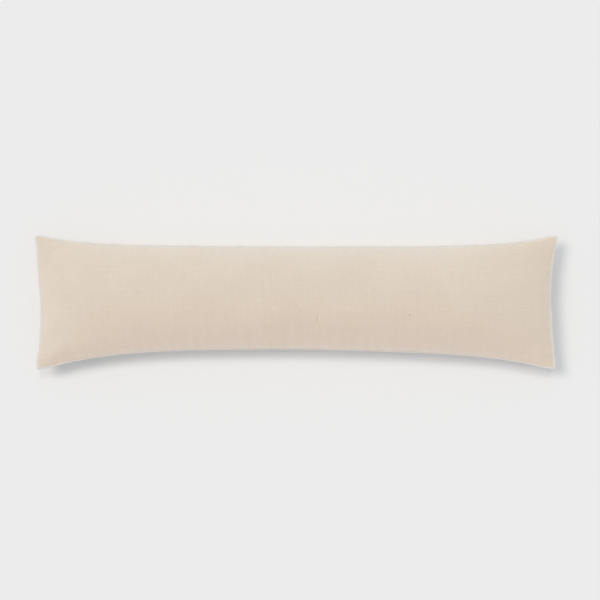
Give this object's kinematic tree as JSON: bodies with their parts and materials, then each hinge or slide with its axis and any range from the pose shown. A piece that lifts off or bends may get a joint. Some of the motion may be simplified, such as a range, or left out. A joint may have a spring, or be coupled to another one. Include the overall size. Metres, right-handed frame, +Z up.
{
  "type": "lumbar throw pillow",
  "caption": "Long, narrow lumbar throw pillow in plain natural woven cloth, with knife edges, drawn-in sides and a soft full crown, lying on its back.",
  "frame": {"origin": "on the surface that the pillow rests on, under the middle of its bounding box", "axes": "+X along the pillow, to the right in the picture; +Y across it, up in the picture; +Z up from the surface"},
  "size_m": [1.2541, 0.3218, 0.1535],
  "materials": {
    "natural_cloth": "plain woven linen-look cloth, matt with a faint soft sheen"
  },
  "bodies": {
    "root": {"pillow": "natural_cloth"}
  },
  "joints": []
}
